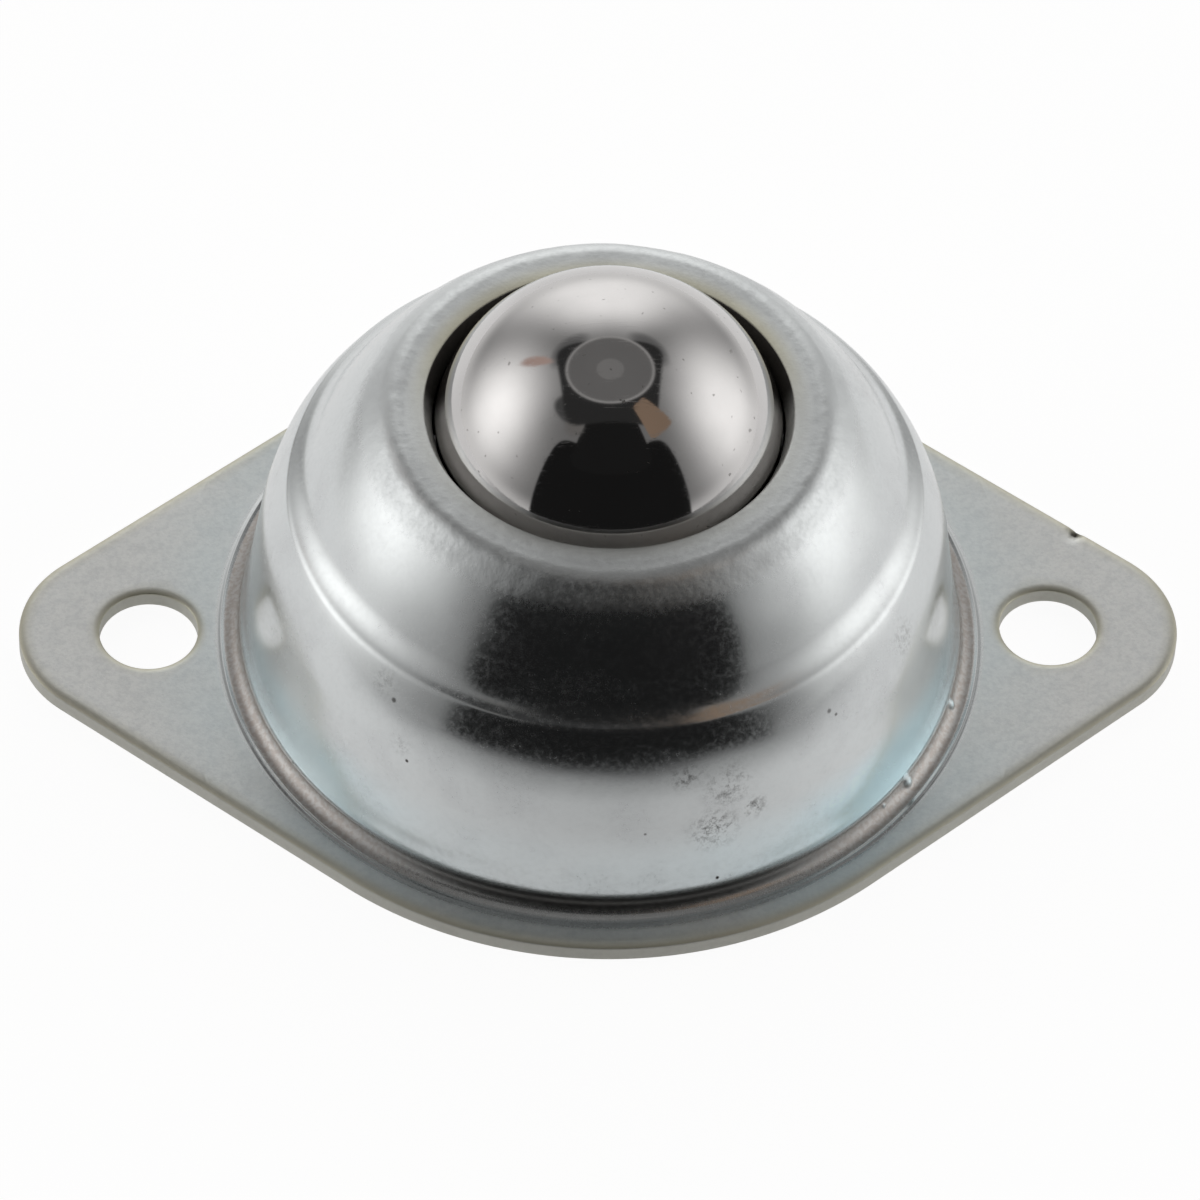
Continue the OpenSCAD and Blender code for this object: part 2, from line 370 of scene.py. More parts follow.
def whole_end(side):
    """Top face, bottom face, hole wall and sheared side of one end, as four grids."""
    rim, shared = end_outline(side, top_boundary, 0.0)
    low_rim, _ = end_outline(side, low_boundary, burr_inset)
    centre = np.array([side * hole_x, 0.0])
    towards = (rim - centre) / np.linalg.norm(rim - centre, axis=1, keepdims=True)
    hole = centre + hole_r * towards
    top = lifted(fan(hole, rim, at_cut[:-1], at_cut, 9), flange_top)
    low_hole = centre + (hole_r + burr_inset) * towards
    low = lifted(fan(low_hole, low_rim, below_cut, below_cut, 5), 0.0)
    hole_wall = cut_wall(top[0], hole, low[0])
    cut = np.concatenate([np.arange(shared - 1, len(rim)), [0]])
    side_wall = cut_wall(top[-1, cut], rim[cut], low[-1, cut])
    return [(top, True), (low, True), (hole_wall, True), (side_wall, False)]


def cut_wall(top, plan, low):
    """A straight cut: from the top edge down the plan to just above the burr, then in to the bottom edge."""
    heights = burr_inset + (top[:, 2] - burr_inset) * np.array([0.85, 0.5, 0.15, 0])[:, None]
    middle = np.concatenate([np.repeat(plan[None], 4, axis=0), heights[..., None]], axis=-1)
    return np.concatenate([top[None], middle, low[None]])


def round_side_walls():
    """The sheared side of the round part: the columns at the front and the back, outside both ends."""
    walls = []
    for start in (split_angle, split_angle - 180):
        offset = (angles - start) % 360
        own = np.flatnonzero(offset < 180 - 2 * split_angle + 1e-6)
        own = own[np.argsort(offset[own])]
        walls.append((cut_wall(round_part[-1, own], top_boundary[own], round_part[0, own]), False))
    return walls


grids = [(round_part, True)] + round_side_walls() + whole_end(1) + whole_end(-1)
print("grids in the housing:", len(grids))

# %% [markdown]
# ## From grids to one closed shell
# The grids meet at the same points, so merging points that coincide closes the shell. Afterwards
# every face is turned outwards and the surface is shaded smoothly, because a pressed sheet has no
# facets.


# %% Helpers that make a piece
def grid_faces(rows, columns, closed, first):
    """Quads (i, j), (i, j+1), (i+1, j+1), (i+1, j) of a grid whose points are numbered row by row."""
    j = np.arange(columns if closed else columns - 1)
    i = np.arange(rows - 1)[:, None] * columns + first
    after = (j + 1) % columns
    return np.stack([i + j, i + after, i + columns + after, i + columns + j], axis=-1).reshape(-1, 4)


def welded_piece(name, grids, body, node):
    """Joins the grids (in millimetres) into one mesh, merges points that coincide, turns all faces
    outwards, and hands the piece to the frame."""
    points, faces, first = [], [], 0
    for grid, closed in grids:
        faces.append(grid_faces(grid.shape[0], grid.shape[1], closed, first))
        points.append(grid.reshape(-1, 3) * MM)
        first += grid.shape[0] * grid.shape[1]
    mesh = bpy.data.meshes.new(name)
    mesh.from_pydata(np.vstack(points), [], np.vstack(faces).tolist())
    shell = bmesh.new()
    shell.from_mesh(mesh)
    bmesh.ops.remove_doubles(shell, verts=shell.verts, dist=2e-6)
    bmesh.ops.dissolve_degenerate(shell, edges=shell.edges, dist=1e-7)
    bmesh.ops.recalc_face_normals(shell, faces=shell.faces)
    if shell.calc_volume(signed=True) < 0:
        bmesh.ops.reverse_faces(shell, faces=shell.faces)
    open_edges = sum(1 for edge in shell.edges if len(edge.link_faces) != 2)
    shell.to_mesh(mesh)
    shell.free()
    mesh.shade_smooth()
    piece = bpy.data.objects.new(name, mesh)
    bpy.context.scene.collection.objects.link(piece)
    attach(piece, body)
    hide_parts(node)
    triangles = sum(len(face.vertices) - 2 for face in mesh.polygons)
    print(f"{name}: {triangles} triangles, {open_edges} open edges")
    return piece


def read_points(piece, what="co"):
    """The piece's points, or their normals, as an array with one row each."""
    values = np.empty(len(piece.data.vertices) * 3)
    source = piece.data.vertices if what == "co" else piece.data.vertex_normals
    source.foreach_get("co" if what == "co" else "vector", values)
    return values.reshape(-1, 3)


def move_points(piece, shift):
    """Adds a shift in millimetres to every point."""
    piece.data.vertices.foreach_set("co", (read_points(piece) + shift * MM).ravel())
    piece.data.update()


def mark(piece, name, values):
    """Writes one number per point, which the finish reads as an attribute of that name."""
    layer = piece.data.attributes.new(name, "FLOAT", "POINT")
    layer.data.foreach_set("value", np.clip(values, 0, 1).astype(np.float32))


def ripple(points, longest, shortest, waves, seed):
    """A gentle unevenness between about -1 and 1: the sum of plane sine waves, sin(k . p + phase),
    with directions and lengths drawn at random but always the same for one seed."""
    draw = np.random.default_rng(seed)
    direction = draw.normal(size=(waves, 3))
    direction /= np.linalg.norm(direction, axis=1, keepdims=True)
    length = np.exp(draw.uniform(np.log(shortest), np.log(longest), waves))
    wave = np.sin(points @ (direction * (2 * np.pi / length)[:, None]).T + draw.uniform(0, 2 * np.pi, waves))
    return wave.sum(axis=1) * math.sqrt(2 / waves)


# %% The housing
housing = welded_piece("pressed_housing", grids, "base", "housing")
points = read_points(housing) / MM
normals = read_points(housing, "normal")
x, y, z = points.T
r = np.hypot(x, y)
angle = np.degrees(np.arctan2(y, x))

# %% [markdown]
# ### What handling and plating left on the sheet
# Drawn sheet is never quite true, so the dome gets a ripple of a few thousandths of a millimetre,
# which is what breaks up the reflections. Three drops of zinc sit on the foot of the wall, each a
# smooth swelling along the surface's normal. In front the bead and the band are worn away, and the
# rounded top edge has the fine orange peel of stretched sheet.

# %% Ripple and zinc drops
outward = np.einsum("ij,ij->i", normals[:, :2], points[:, :2]) / r
outside = rise(normals @ np.array([0, 0, 1.0]) + outward, -0.2, 0.2)
dome = outside * rise(z, 2.2, 4.5) * rise(r, mouth_r, mouth_r + 1.0)
swell = 0.013 * dome * ripple(points, 12, 3.5, 14, seed=3)
from_front = (angle + 90 + 180) % 360 - 180
front_wear_and_shade_width = 36  # degrees to each side of the front
front_wear_and_shade = np.exp(-(from_front / front_wear_and_shade_width) ** 4)
base_turn = np.degrees(np.arctan2(z - base_c[1], r - base_c[0])) % 360
near_base = np.abs(np.hypot(r - base_c[0], z - base_c[1]) - base_fillet) < 0.25
base_band = outside * near_base * rise(base_turn, 195, 199) * (1 - rise(base_turn, 260, 266))
swell += front_wear_and_shade * band_depth * base_band
sunk = front_wear_and_shade * bead_height * outside * (z < 2) * np.exp(-(((r - bead_at[0]) / bead_width) ** 2))
peel = outside * rise(z, 19.8, 20.9) * rise(r, 12.5, 13.1) * (1 - rise(r, 14.8, 16.0))
swell += 0.006 * peel * ripple(points, 1.7, 0.9, 18, seed=4)
drop_glow = np.zeros(len(points))
for drop_angle, size in drops:
    foot = np.append(ray(drop_angle) * (wall_radius(2.0) + 0.22), 1.80)
    near = np.linalg.norm(points - foot, axis=1) / size
    swell += outside * 0.62 * size * np.exp(-near**4)
    drop_glow = np.maximum(drop_glow, np.exp(-(near / 1.15) ** 4))
move_points(housing, normals * swell[:, None] - np.outer(sunk, (0, 0, 1)))
print(f"largest swelling {swell.max():.3f} mm")

# %% [markdown]
# ### Zones of the finish
# The zinc looks different on each stretch of the sheet: glassy on the drawn wall, rough where the
# top edge was stretched, dull on the flat flange, blue low on the wall where the passivation stayed
# thick, straw-coloured beside the cuts. The flange, the blue foot of the wall and the drops carry
# painted light that makes them brighter, and painted shade darkens the fold at the front and the
# back of the mouth. Each zone is a number per point, worked out from the radius, the height and the
# distance to the cuts, so the finish follows the shape exactly.

# %% Zones as attributes
edge_gap = outline_distance(x, y)
hole_gap = np.where(np.abs(x) > split_x - 1, hole_distance(x, y), 9)
on_flange = rise(r, 24.35, 24.7) * (z > -0.01)
side_cut = (z < sheet_t - 0.9 * edge_roll["depth"]) & (z > 1e-4) & (np.minimum(edge_gap, hole_gap) < 0.02)


def beside(centre, spread):
    """exp(-(a / spread)^2), where a is the angle from the centre, the short way round."""
    return np.exp(-(((angle - centre + 180) % 360 - 180) / spread) ** 2)


left, right = beside(-150, 22), beside(-38, 26)
low_wall = outside * rise(z, 2.0, 2.6) * (1 - rise(z, 4.5, 8.0))
beside_dome = on_flange * (1 - rise(r, 25, 31))
# The flat flange: its duller zinc, whose colour is raised near white as painted light.
mark(housing, "flat", on_flange)
mark(housing, "top", outside * rise(z, 21.6, 22.0) * (1 - rise(r, 12.6, 13.4)))
mark(housing, "peel", peel)
mouth_wall = (z > 20.5) * (1 - rise(r, mouth_r - 0.02, mouth_r + 0.06))
# Painted shade: the mouth's sloping wall is darkened towards the back, standing in for the shaded gap
# between the ball and the mouth.
mark(housing, "lip", mouth_wall * rise(y, -0.5, 2))
mark(housing, "band", base_band * (1 - drop_glow) * (1 - 0.8 * front_wear_and_shade))
# The blue film low on the wall, made brighter at the sides as painted light from the windows.
mark(housing, "blue", low_wall * (0.12 + np.maximum(0.6 * left, 0.88 * right)) + 0.25 * beside_dome)
# The zinc drops: their bluish tint, made near white by a painted highlight.
mark(housing, "drop", drop_glow)
upper_fold = rise(base_turn, 176, 184) * (1 - rise(base_turn, 215, 240))
# Painted shade: the fold at the foot of the wall in front is darkened in its colour, standing in for the
# shade that falls there.
mark(housing, "front_fold_shade", front_wear_and_shade * outside * near_base * upper_fold)
mark(housing, "straw", on_flange * np.exp(-(np.minimum(edge_gap, hole_gap * 1.4) / 0.55) ** 2)
     + outside * (z > 21) * (1 - rise(r, 11.6, 12.9)) * (0.2 + 0.8 * rise(y, -2, 7)))
mark(housing, "shear", np.maximum(side_cut, mouth_wall))
from_nick = np.hypot(x - nick_at[0], y - nick_at[1]) / (1.05 * nick_size)
mark(housing, "nick", np.exp(-from_nick**4) * (z > 0.3))
print("zones:", sorted(a.name for a in housing.data.attributes if a.data_type == "FLOAT"))

# %% [markdown]
# ## The load ball
# A ball that is made from a globe of latitudes has pinched poles, and a mirror shows them at once.
# Here the six faces of a cube are blown up to a sphere instead, which keeps the quads nearly even.


# %% The load ball
def blown_cube(centre, radius, count):
    """Six grids: a cube's face (1, tan u, tan v), with u and v from -45 to 45 degrees, pushed out
    to the radius. The tangents space the points evenly over the sphere."""
    u, v = np.meshgrid(*[np.tan(np.radians(np.linspace(-45, 45, count + 1)))] * 2)
    face = np.stack([np.ones_like(u), u, v], axis=-1)
    face *= radius / np.linalg.norm(face, axis=-1, keepdims=True)
    return [
        (np.roll(face, turn, axis=-1) * side + centre, False) for turn in range(3) for side in (1, -1)
    ]


load_ball = welded_piece(
    "load_ball_finish", blown_cube([0, 0, ball_z], ball_r, 64), "ball", "load_ball"
)

# %% [markdown]
# ## The bottom cover
# The cover is a pressed disc: a dished seat for the cup in the middle, a wall down to the floor, and
# a skirt that grips the drum from inside. It is seen when the unit is turned over. Its middle line is
# a chain of arcs, and half the sheet's thickness is laid off to each side of it.

# %% Section of the bottom cover
support_d, run_gap, cup_t = 3.175, 0.02, 1.4
cover_t, seat_gap = 1.2, 0.02
cover_recess, cover_bend, seat_angle, seat_wall, skirt_h = 0.2, 1.2, 28.0, 65.0, 5.6
cup_out = ball_r + support_d + 2 * run_gap + cup_t
floor_z = cover_recess + cover_t / 2
seat_r = cup_out + seat_gap + cover_t / 2
seat_end = 270 + seat_angle
crest_c = np.array([0, ball_z]) + (seat_r + cover_bend) * ray(seat_end)
crest_end = crest_c + cover_bend * ray(90 - seat_wall)
foot_drop = crest_end[1] - floor_z - cover_bend * (1 - math.cos(math.radians(seat_wall)))
foot_x = crest_end[0] + foot_drop / math.tan(math.radians(seat_wall))
foot_c = np.array([foot_x + cover_bend * math.sin(math.radians(seat_wall)), floor_z + cover_bend])
skirt_c = np.array([
    wall_radius(floor_z + cover_bend, sheet_t + seat_gap + cover_t / 2 + cover_bend), floor_z + cover_bend
])
skirt_end = np.array([wall_radius(skirt_h, sheet_t + seat_gap + cover_t / 2), skirt_h])


def cover_side(off, step):
    """The cover's middle line moved sideways by off: each arc's radius grows or shrinks by it."""
    return fill(np.vstack([
        arc([0, ball_z], seat_r - off, 270, seat_end, step),
        arc(crest_c, cover_bend + off, seat_end - 180, 90 - seat_wall, FINE * 1.6),
        arc(foot_c, cover_bend - off, 270 - seat_wall, 270, FINE * 1.6),
        arc(skirt_c, cover_bend - off, 270, 360 + drum_draft, FINE * 1.6),
    ]), step)


# %% The bottom cover
skirt_round = 0.22
half = cover_t / 2 - skirt_round
skirt_cap = skirt_end - skirt_round * np.array([-wall_dir[1], wall_dir[0]])
skirt_rim = np.vstack([
    arc(skirt_cap - half * wall_dir, skirt_round, 180 + drum_draft, 90 + drum_draft, 0.08),
    arc(skirt_cap + half * wall_dir, skirt_round, 90 + drum_draft, drum_draft, 0.08),
])
cover_section = fill(
    np.vstack([cover_side(cover_t / 2, 0.6), skirt_rim, cover_side(-cover_t / 2, 0.6)[::-1]]), 0.6
)
cover_columns = 240
cover_grid = carried_round(cover_section, ray(np.arange(cover_columns) * 360 / cover_columns))
bottom_cover = welded_piece("cover_disc", [(cover_grid, True)], "base", "bottom_cover")

# %% [markdown]
# ## Finishes
# A finish is a small graph of nodes. The helper below adds one node per call and gives back its
# output, so that a finish can be read from top to bottom like a recipe.


# %% Helper for node graphs
class Recipe:
    """Adds nodes to a tree. A value that is a socket is linked, and any other value is set."""

    def __init__(self, tree):
        self.tree = tree
        tree.nodes.clear()

    def add(self, kind, **settings):
        node = self.tree.nodes.new(kind)
        for name, value in settings.items():
            setattr(node, name, value)
        return node

    def feed(self, socket, value):
        if isinstance(value, bpy.types.NodeSocket):
            self.tree.links.new(value, socket)
        else:
            socket.default_value = value

    def math(self, operation, *values):
        node = self.add("ShaderNodeMath", operation=operation)
        for socket, value in zip(node.inputs, values):
            self.feed(socket, value)
        return node.outputs[0]

    def against(self, operation, vector, fixed):
        """One number from a vector and a fixed one."""
        node = self.add("ShaderNodeVectorMath", operation=operation)
        self.feed(node.inputs[0], vector)
        self.feed(node.inputs[1], tuple(float(f) for f in fixed))
        return node.outputs["Value"]

    def dot(self, vector, fixed):
        return self.against("DOT_PRODUCT", vector, fixed)

    def distance(self, vector, fixed):
        return self.against("DISTANCE", vector, fixed)

    def ramp(self, value, low, high, to_low=0.0, to_high=1.0):
        """A smooth change from to_low to to_high while the value goes from low to high."""
        node = self.add("ShaderNodeMapRange", interpolation_type="SMOOTHSTEP")
        for socket, given in zip(node.inputs, (value, low, high, to_low, to_high)):
            self.feed(socket, given)
        return node.outputs[0]

    def mix(self, share, first, second):
        """The first colour where share is 0 and the second where it is 1."""
        node = self.add("ShaderNodeMix", data_type="RGBA", blend_type="MIX")
        for socket, given in zip((node.inputs[0], node.inputs[6], node.inputs[7]), (share, first, second)):
            self.feed(socket, given)
        return node.outputs[2]

    def noise(self, where, size, detail=3.0, roughness=0.55):
        """Cloudy noise whose lumps are about size metres apart."""
        node = self.add("ShaderNodeTexNoise")
        settings = {"Vector": where, "Scale": 1 / size, "Detail": detail, "Roughness": roughness}
        for name, given in settings.items():
            self.feed(node.inputs[name], given)
        return node.outputs[0]

    def zone(self, name):
        """A number that was marked on the piece's points."""
        return self.add("ShaderNodeAttribute", attribute_name=name).outputs["Fac"]

    def bump(self, height, depth, under=None):
        """Tilts the surface as a relief of that depth in metres would."""
        node = self.add("ShaderNodeBump")
        self.feed(node.inputs["Height"], height)
        self.feed(node.inputs["Distance"], depth)
        if under is not None:
            self.feed(node.inputs["Normal"], under)
        return node.outputs[0]

    def place(self):
        """Where the point lies on the piece itself, in metres."""
        return self.add("ShaderNodeTexCoord").outputs["Object"]


def finish_of(name):
    """A new material and its recipe."""
    material = bpy.data.materials.new(name)
    material.use_nodes = True
    return material, Recipe(material.node_tree)


def dress(piece, material):
    """Makes the material the piece's only one."""
    piece.data.materials.clear()
    piece.data.materials.append(material)


def metal(recipe, colour, roughness, normal, metallic=1.0):
    """Closes a recipe with a metallic surface. Below 1, metallic leaves some chalky scatter."""
    shader = recipe.add("ShaderNodeBsdfPrincipled")
    recipe.feed(shader.inputs["Metallic"], metallic)
    recipe.feed(shader.inputs["Base Color"], colour)
    recipe.feed(shader.inputs["Roughness"], roughness)
    recipe.feed(shader.inputs["Normal"], normal)
    recipe.feed(recipe.add("ShaderNodeOutputMaterial").inputs["Surface"], shader.outputs[0])


# %% [markdown]
# ### Zinc plate
# Bright zinc is a light metal with a faint cloudiness, a fine grain, and colour only where its film
# is thick. The clouds are slow noise, the grain is quick noise in the bump, and the zones marked on
# the mesh bring in the blue and the flange's near white, both partly painted light, the straw, the
# brown, the drops' painted highlight and the painted shade. Scuffs and pits are spots at fixed places.

# %% Colours of the zinc
BRIGHT_ZINC = (0.755, 0.78, 0.785, 1)
CLOUDED_ZINC = (0.64, 0.655, 0.665, 1)
# The flange's whitish zinc, raised near white as painted light.
FLAT_ZINC_AND_PAINTED_LIGHT = (0.975, 0.985, 0.965, 1)
# Blue film, lighter than the zinc: partly its tint, partly painted light.
BLUE_FILM_AND_PAINTED_LIGHT = (0.73, 0.93, 1.0, 1)
# Drop tint made near white by a painted highlight.
DROP_ZINC_AND_PAINTED_HIGHLIGHT = (0.86, 0.97, 1.0, 1)
STRAW_FILM = (0.62, 0.59, 0.44, 1)
BROWN_BAND = (0.50, 0.46, 0.43, 1)
SHEARED_STEEL = (0.72, 0.72, 0.69, 1)
# A dark colour for real dirt and pits, and also for painted shade.
BURNT_DIRT_AND_SHADE = (0.035, 0.028, 0.022, 1)


def on_wall(spot_angle, height):
    """A place on the outside of the dome, in metres, from its angle and its height."""
    order = np.argsort(outer_face[:, 1])
    radius = np.interp(height, outer_face[order, 1], outer_face[order, 0])
    return np.append(ray(spot_angle) * radius, height) * MM


pits = [  # angle, height, radius in millimetres, darkness
    (-130.3, 13.06, 0.24, 0.75), (-125.5, 9.46, 0.17, 0.9), (-148.7, 2.3, 0.12, 0.8),
    (-84.9, 7.43, 0.13, 0.6), (-73.2, 2.92, 0.16, 0.95), (-50.8, 12.4, 0.22, 0.6), (-49.6, 11.9, 0.16, 0.6),
]
smudges = [  # angle, height, radius in millimetres, darkness
    (-78.2, 11.5, 1.5, 0.8), (-71.1, 10.3, 2.3, 0.9), (-73.6, 7.0, 2.3, 1.0), (-66.7, 7.9, 1.3, 0.9),
    (-127, 10.4, 1.2, 0.35), (-133, 13.6, 1.6, 0.4), (-30, 12.5, 2.2, 0.35),
]


# %% The zinc finish
def zinc_finish(name, cloudiness, polish):
    """cloudiness is how strong the grey clouds are, and polish is the roughness of the drawn wall."""
    material, make = finish_of(name)
    place = make.place()
    flat, top, peel = make.zone("flat"), make.zone("top"), make.zone("peel")
    band, shear = make.zone("band"), make.zone("shear")
    rough_skin = make.math("MAXIMUM", flat, make.math("MULTIPLY", top, 0.8))

    clouds = make.ramp(make.noise(place, 4.5e-3, 5, 0.6), 0.42, 0.72)
    colour = make.mix(make.math("MULTIPLY", clouds, cloudiness), BRIGHT_ZINC, CLOUDED_ZINC)
    mottle = make.ramp(make.noise(place, 1.1e-3, 5, 0.65), 0.42, 0.66, 1.0, 0.72)
    # The flange's mottled zinc, lifted near white by painted light.
    colour = make.mix(make.math("MULTIPLY", flat, mottle), colour, FLAT_ZINC_AND_PAINTED_LIGHT)
    crystals = make.ramp(make.noise(place, 0.32e-3, 4, 0.7), 0.42, 0.62, 0.0, 0.24)
    colour = make.mix(make.math("MULTIPLY", rough_skin, crystals), colour, CLOUDED_ZINC)
    drift = make.ramp(make.noise(place, 7e-3, 2), 0.3, 0.6, 0.55, 1.0)
    # The blue film, partly real tint and partly painted light.
    colour = make.mix(make.math("MULTIPLY", make.zone("blue"), drift), colour, BLUE_FILM_AND_PAINTED_LIGHT)
    colour = make.mix(make.math("MULTIPLY", make.zone("straw"), 0.8), colour, STRAW_FILM)
    # Drops: bluish tint plus a painted highlight.
    colour = make.mix(make.zone("drop"), colour, DROP_ZINC_AND_PAINTED_HIGHLIGHT)
    colour = make.mix(make.math("MULTIPLY", shear, 0.8), colour, SHEARED_STEEL)
    speckle = make.ramp(make.noise(place, 0.28e-3, 2), 0.35, 0.65)
    colour = make.mix(make.math("MULTIPLY", band, make.ramp(speckle, 0, 1, 0.65, 1.0)), colour, BROWN_BAND)

    grit = make.ramp(make.noise(place, 0.55e-3, 5, 0.8), 0.44, 0.66)
    # The nick is a real mark; the lip zone is painted shade for the dark gap round the ball at the back of
    # the mouth.
    dirt_and_shade = make.math("MAXIMUM", make.zone("nick"), make.math("MULTIPLY", make.zone("lip"), 0.93))
    # The front fold's painted shade joins the dark colour.
    dirt_and_shade = make.math("MAXIMUM", dirt_and_shade, make.math("MULTIPLY", make.zone("front_fold_shade"), 0.80))
    for spot_angle, height, size, darkness in smudges:
        gap = make.distance(place, on_wall(spot_angle, height))
        smear = make.ramp(gap, 0.0, size * MM, darkness, 0.0)
        dirt_and_shade = make.math("MAXIMUM", dirt_and_shade, make.math("MULTIPLY", smear, make.math("MULTIPLY", grit, 0.85)))
    for spot_angle, height, size, darkness in pits:
        gap = make.distance(place, on_wall(spot_angle, height))
        dirt_and_shade = make.math("MAXIMUM", dirt_and_shade, make.ramp(gap, 0.35 * size * MM, size * MM, darkness, 0.0))
    # Real stains, pits and the nick, and painted shade in the front fold and at the back of the mouth, all
    # take this dark colour.
    colour = make.mix(dirt_and_shade, colour, BURNT_DIRT_AND_SHADE)

    frost = make.ramp(make.noise(place, 0.35e-3, 5, 0.75), 0.40, 0.68)
    dull = make.math("MULTIPLY_ADD", frost, 0.10, polish)
    for share, extra in (
        (flat, 0.21), (peel, 0.20), (make.zone("drop"), 0.30), (top, 0.18), (band, 0.14),
        (shear, 0.30), (clouds, 0.05), (dirt_and_shade, 0.2),
    ):
        dull = make.math("MULTIPLY_ADD", share, extra, dull)

    grain = make.bump(make.noise(place, 0.20e-3, 3), make.math("MULTIPLY_ADD", rough_skin, 6.0e-6, 1.0e-6))
    peel_depth = make.math("MULTIPLY_ADD", rough_skin, 4e-6, make.math("MULTIPLY_ADD", peel, 15e-6, 1.0e-6))
    peeled = make.bump(make.noise(place, 0.42e-3, 3, 0.5), peel_depth, grain)
    chalk = make.math("MAXIMUM", make.math("MULTIPLY", flat, 0.27), make.math("MULTIPLY", band, 0.20))
    metal(make, colour, dull, peeled, make.math("SUBTRACT", 1.0, chalk))
    return material


zinc = zinc_finish("bright_zinc_plate", 0.45, 0.16)
dress(housing, zinc)
cover_zinc = zinc_finish("dull_zinc_plate", 0.8, 0.32)
dress(bottom_cover, cover_zinc)

# %% [markdown]
# ### Ball steel
# The load ball is lapped to a mirror, and use has given it hair-fine scratches and a few dull specks.
# The support balls are the same steel, not quite so bright. The cup is ground on its inside, which
# leaves fine rings, and hardening has darkened it.


# %% The ball finishes
def ball_finish(name, colour, polish):
    """A mirror with a faint haze, scratches from stretched noise, and scattered dull specks."""
    material, make = finish_of(name)
    place = make.place()
    haze = make.ramp(make.noise(place, 5e-3, 3), 0.35, 0.7)
    specks = make.ramp(make.noise(place, 0.5e-3, 1), 0.72, 0.80)
    stretched = make.add("ShaderNodeMapping")
    make.feed(stretched.inputs["Vector"], place)
    stretched.inputs["Rotation"].default_value = (0.6, 0.3, 0.9)
    stretched.inputs["Scale"].default_value = (1, 14, 14)
    hair = make.ramp(make.noise(stretched.outputs[0], 3e-3, 2), 0.60, 0.64)
    tone = make.mix(haze, colour, tuple(c * 0.93 for c in colour[:3]) + (1,))
    tone = make.mix(make.math("MULTIPLY", specks, 0.6), tone, (0.25, 0.24, 0.23, 1))
    rough = make.math("MULTIPLY_ADD", haze, 0.02, polish)
    rough = make.math("MULTIPLY_ADD", hair, 0.03, rough)
    rough = make.math("MULTIPLY_ADD", specks, 0.25, rough)
    metal(make, tone, rough, make.bump(hair, 0.4e-6))
    return material


def cup_finish():
    """Rings from grinding: a wave of the distance from the axis, over a cloudy dark steel."""
    material, make = finish_of("ground_cup_steel")
    place = make.place()
    rings = make.add("ShaderNodeTexWave", wave_type="RINGS", rings_direction="Z")
    make.feed(rings.inputs["Vector"], place)
    rings.inputs["Scale"].default_value = 900
    rings.inputs["Distortion"].default_value = 0.6
    clouds = make.ramp(make.noise(place, 3e-3, 4), 0.35, 0.7)
    tone = make.mix(clouds, (0.42, 0.41, 0.40, 1), (0.27, 0.26, 0.26, 1))
    metal(make, tone, make.math("MULTIPLY_ADD", clouds, 0.12, 0.28), make.bump(rings.outputs[1], 1.5e-6))
    return material


dress(load_ball, ball_finish("mirror_ball_steel", (0.68, 0.665, 0.66, 1), 0.055))
small_ball_steel = ball_finish("support_ball_steel", (0.60, 0.60, 0.61, 1), 0.12)
for name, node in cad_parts.items():
    if name.startswith("support_balls"):
        dress(node, small_ball_steel)
dress(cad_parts["race_cup"], cup_finish())
print("finishes:", sorted(m.name for m in bpy.data.materials if m.users))

# %% [markdown]
# ## The studio
# Polished metal has no look of its own: it shows the room. The room here is the one such a unit is
# usually shown in: a tent with three big soft windows, left, right and behind, a dark opening in
# front and a round hood above. Lamps and cards would get in the way of other views, so the
# room is drawn on the world's sky, by direction: azimuth from the front and elevation, in degrees.
# Only the view itself sees plain white. The metal has to mirror the tent and its dark opening, which
# a white world would wipe out.


# %% Shapes on the sky
def sky_angles(make, sky, azimuth, elevation):
    """Two sockets: how far a direction lies beside and above (azimuth, elevation), in radians."""
    facing = (math.sin(math.radians(azimuth)), -math.cos(math.radians(azimuth)), 0)
    aside = (math.cos(math.radians(azimuth)), math.sin(math.radians(azimuth)), 0)
    turn = make.math("ARCTAN2", make.dot(sky, aside), make.dot(sky, facing))
    climb = make.math("ARCSINE", make.dot(sky, (0, 0, 1)))
    return (
        make.math("ABSOLUTE", turn),
        make.math("ABSOLUTE", make.math("SUBTRACT", climb, math.radians(elevation))),
    )


def rounded_frame(make, sky, azimuth, elevation, half_width, half_height, soft, power=8.0):
    """1 inside a rounded rectangle, falling to 0 over soft: the shares of the way to its two sides,
    each raised to a power and added, are compared with 1."""
    total = make.math("ADD", *[
        make.math("POWER", make.math("DIVIDE", away, math.radians(half)), power)
        for away, half in zip(sky_angles(make, sky, azimuth, elevation), (half_width, half_height))
    ])
    return make.ramp(total, 1 - soft, 1 + soft, 1.0, 0.0)


def bell_window(make, sky, azimuth, elevation, wide, high, power):
    """A window of thin cloth, brightest in the middle:
    e^-((beside / wide)^power + (above / high)^power)."""
    total = make.math("ADD", *[
        make.math("POWER", make.math("DIVIDE", away, math.radians(spread)), power)
        for away, spread in zip(sky_angles(make, sky, azimuth, elevation), (wide, high))
    ])
    return make.math("POWER", math.e, make.math("MULTIPLY", total, -1.0))


def round_patch(make, sky, azimuth, elevation, radius, soft):
    """1 within radius degrees of a direction, falling to 0 over soft degrees."""
    level = math.cos(math.radians(elevation))
    towards = (
        math.sin(math.radians(azimuth)) * level, -math.cos(math.radians(azimuth)) * level,
        math.sin(math.radians(elevation)),
    )
    edge = make.dot(sky, towards)
    return make.ramp(edge, math.cos(math.radians(radius + soft)), math.cos(math.radians(radius - soft)))


def grey(level, warm=0.0):
    """A grey of that level, with a little less blue where it is warm."""
    return (level, level * (1 - 0.5 * warm), level * (1 - warm), 1)


